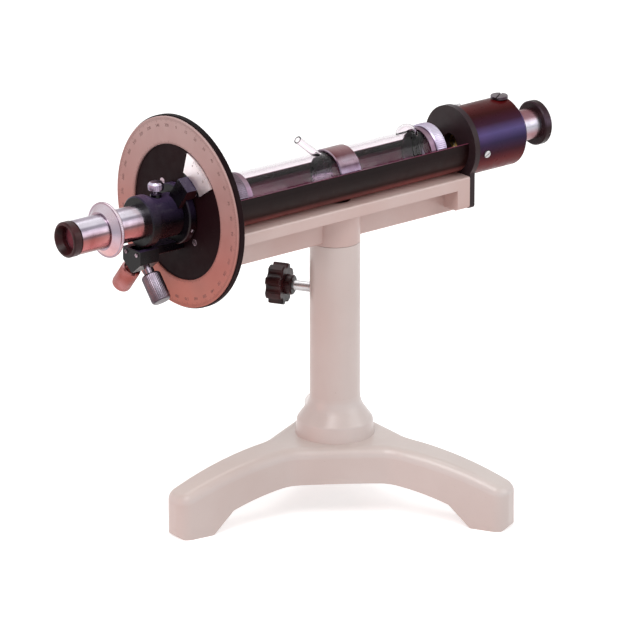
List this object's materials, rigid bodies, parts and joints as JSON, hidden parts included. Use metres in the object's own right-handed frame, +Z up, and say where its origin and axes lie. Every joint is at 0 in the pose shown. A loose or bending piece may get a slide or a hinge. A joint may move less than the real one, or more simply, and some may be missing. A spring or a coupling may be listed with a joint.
{
  "type": "half-shade polarimeter",
  "caption": "Manual polarimeter: tripod stand, T beam with a trough for a glass sample tube, polariser housing, circular scale, vernier and eyepiece.",
  "frame": {"origin": "on the floor, under the middle of the instrument's box", "axes": "+X along the optical axis from the eyepiece to the lamp end, +Y to the far side, +Z up; the optical axis is at z = 0.272 m"},
  "size_m": [0.4754, 0.2708, 0.348],
  "materials": {
    "enamel": "cream stoving enamel, glossy",
    "black": "black enamel, satin",
    "chrome": "bright plate, polished",
    "satin": "satin silvered metal",
    "steel": "plain turned steel",
    "brass": "plain turned brass",
    "plastic": "black moulded plastic, glossy",
    "glass": "clear glass",
    "lens": "clear optical glass",
    "washer": "black rubber"
  },
  "bodies": {
    "stand": {"tripod_base": "enamel", "pillar": "enamel", "guide_bush": "brass", "pillar_bolt": "steel", "pillar_washer": "steel"},
    "clamp_pad": {"clamp_pad": "brass"},
    "clamp_knob": {"clamp_knob": "plastic", "clamp_screw": "steel"},
    "stem": {"stem": "steel", "stem_washer": "steel", "stem_nut": "steel"},
    "bench": {"beam": "enamel", "trough": "black", "trough_screws": "steel", "front_plate": "black", "end_plate": "black", "plate_screws": "steel", "disc_plate": "black", "disc_screws": "steel", "scale_ring": "satin", "bearing_sleeve": "brass", "sleeve_nut": "brass", "polariser_housing": "black", "housing_screws": "steel", "half_shade_cell": "brass", "half_wave_plate": "lens"},
    "fine_arm": {"fine_motion_arm": "black"},
    "near_button": {"thrust_button_near": "steel"},
    "far_button": {"thrust_button_far": "steel"},
    "near_screw": {"fine_screw_near": "chrome"},
    "far_screw": {"fine_screw_far": "chrome"},
    "analyser": {"analyser_hub": "black", "vernier_arm": "black", "vernier_plate": "satin", "telescope_tube": "chrome", "analyser_cell": "brass", "analyser_prism": "lens", "objective_lens": "lens"},
    "thumb_screw": {"hub_thumb_screw": "chrome"},
    "focus_ring": {"focus_ring": "chrome"},
    "eyepiece": {"eyepiece_tube": "chrome", "eyecup": "plastic", "eye_lens": "lens", "field_lens": "lens"},
    "polariser": {"polariser_tube": "brass", "polariser_cell": "brass", "polariser_prism": "lens", "condenser_lens": "lens", "end_ring": "black"},
    "polariser_lock": {"polariser_lock_screw": "chrome"},
    "sample_tube": {"tube_glass": "glass", "tube_ferrules": "satin", "tube_collar": "chrome"},
    "front_seal": {"cover_glass_front": "glass", "seal_washer_front": "washer"},
    "front_cap": {"tube_cap_front": "chrome"},
    "rear_seal": {"cover_glass_rear": "glass", "seal_washer_rear": "washer"},
    "rear_cap": {"tube_cap_rear": "chrome"}
  },
  "joints": [
    {"name": "stem_raise", "type": "slide", "parent": "stand", "child": "stem", "axis": [0, 0, 1], "range_m": [0, 0.05]},
    {"name": "clamp_pad_slide", "type": "slide", "parent": "stand", "child": "clamp_pad", "axis": [-0.5, 0.866, 0], "range_m": [0, 0.0034]},
    {"name": "clamp_knob_turn", "type": "hinge", "parent": "clamp_pad", "child": "clamp_knob", "pos_m": [0.02725, 0.00599, 0.175], "axis": [-0.5, 0.866, 0], "range_deg": [0, 720]},
    {"name": "head_swivel", "type": "hinge", "parent": "stem", "child": "bench", "pos_m": [0.02725, 0.00599, 0.2165], "axis": [0, 0, 1], "continuous": true},
    {"name": "arm_turn", "type": "hinge", "parent": "bench", "child": "fine_arm", "pos_m": [0.02725, 0.00599, 0.272], "axis": [1, 0, 0], "continuous": true},
    {"name": "analyser_fine", "type": "hinge", "parent": "fine_arm", "child": "analyser", "pos_m": [0.02725, 0.00599, 0.272], "axis": [1, 0, 0], "range_deg": [-2.7, 2.7]},
    {"name": "near_button_slide", "type": "slide", "parent": "fine_arm", "child": "near_button", "axis": [0, -0.6293, -0.7771], "range_m": [-0.0008, 0.0008]},
    {"name": "near_screw_turn", "type": "hinge", "parent": "near_button", "child": "near_screw", "pos_m": [-0.16475, 0.00599, 0.246], "axis": [0, -0.6293, -0.7771], "range_deg": [-540, 540]},
    {"name": "far_button_slide", "type": "slide", "parent": "fine_arm", "child": "far_button", "axis": [0, 0.6293, -0.7771], "range_m": [-0.0008, 0.0008]},
    {"name": "far_screw_turn", "type": "hinge", "parent": "far_button", "child": "far_screw", "pos_m": [-0.16475, 0.00599, 0.246], "axis": [0, 0.6293, -0.7771], "range_deg": [-545, 545]},
    {"name": "hub_screw_turn", "type": "hinge", "parent": "analyser", "child": "thumb_screw", "pos_m": [-0.14975, 0.00599, 0.272], "axis": [0, 0, 1], "range_deg": [0, 360]},
    {"name": "focus_ring_turn", "type": "hinge", "parent": "analyser", "child": "focus_ring", "pos_m": [0.02725, 0.00599, 0.272], "axis": [1, 0, 0], "range_deg": [0, 240]},
    {"name": "eyepiece_draw", "type": "slide", "parent": "analyser", "child": "eyepiece", "axis": [-1, 0, 0], "range_m": [0, 0.006]},
    {"name": "polariser_turn", "type": "hinge", "parent": "bench", "child": "polariser", "pos_m": [0.02725, 0.00599, 0.272], "axis": [1, 0, 0], "range_deg": [-15, 15]},
    {"name": "polariser_lock_turn", "type": "hinge", "parent": "bench", "child": "polariser_lock", "pos_m": [0.19625, 0.00599, 0.272], "axis": [0, 0, 1], "range_deg": [0, 360]},
    {"name": "tube_lift", "type": "slide", "parent": "bench", "child": "sample_tube", "axis": [0, 0, 1], "range_m": [0, 0.06]},
    {"name": "front_seal_slide", "type": "slide", "parent": "sample_tube", "child": "front_seal", "axis": [-1, 0, 0], "range_m": [0, 0.003]},
    {"name": "front_cap_turn", "type": "hinge", "parent": "front_seal", "child": "front_cap", "pos_m": [0.02725, 0.00599, 0.272], "axis": [-1, 0, 0], "range_deg": [0, 1080]},
    {"name": "rear_seal_slide", "type": "slide", "parent": "sample_tube", "child": "rear_seal", "axis": [1, 0, 0], "range_m": [0, 0.003]},
    {"name": "rear_cap_turn", "type": "hinge", "parent": "rear_seal", "child": "rear_cap", "pos_m": [0.02725, 0.00599, 0.272], "axis": [1, 0, 0], "range_deg": [0, 1080]}
  ],
  "couplings": [
    {"joint": "clamp_pad_slide", "follows": "clamp_knob_turn", "m_per_rad": 0.00023873},
    {"joint": "analyser_fine", "follows": "near_screw_turn", "ratio": -0.004865},
    {"joint": "near_button_slide", "follows": "near_screw_turn", "m_per_rad": 0.000079577},
    {"joint": "far_button_slide", "follows": "near_screw_turn", "m_per_rad": -0.000079577},
    {"joint": "far_screw_turn", "follows": "near_screw_turn", "ratio": -1},
    {"joint": "eyepiece_draw", "follows": "focus_ring_turn", "m_per_rad": 0.0014324},
    {"joint": "front_seal_slide", "follows": "front_cap_turn", "m_per_rad": 0.00015915},
    {"joint": "rear_seal_slide", "follows": "rear_cap_turn", "m_per_rad": 0.00015915}
  ]
}
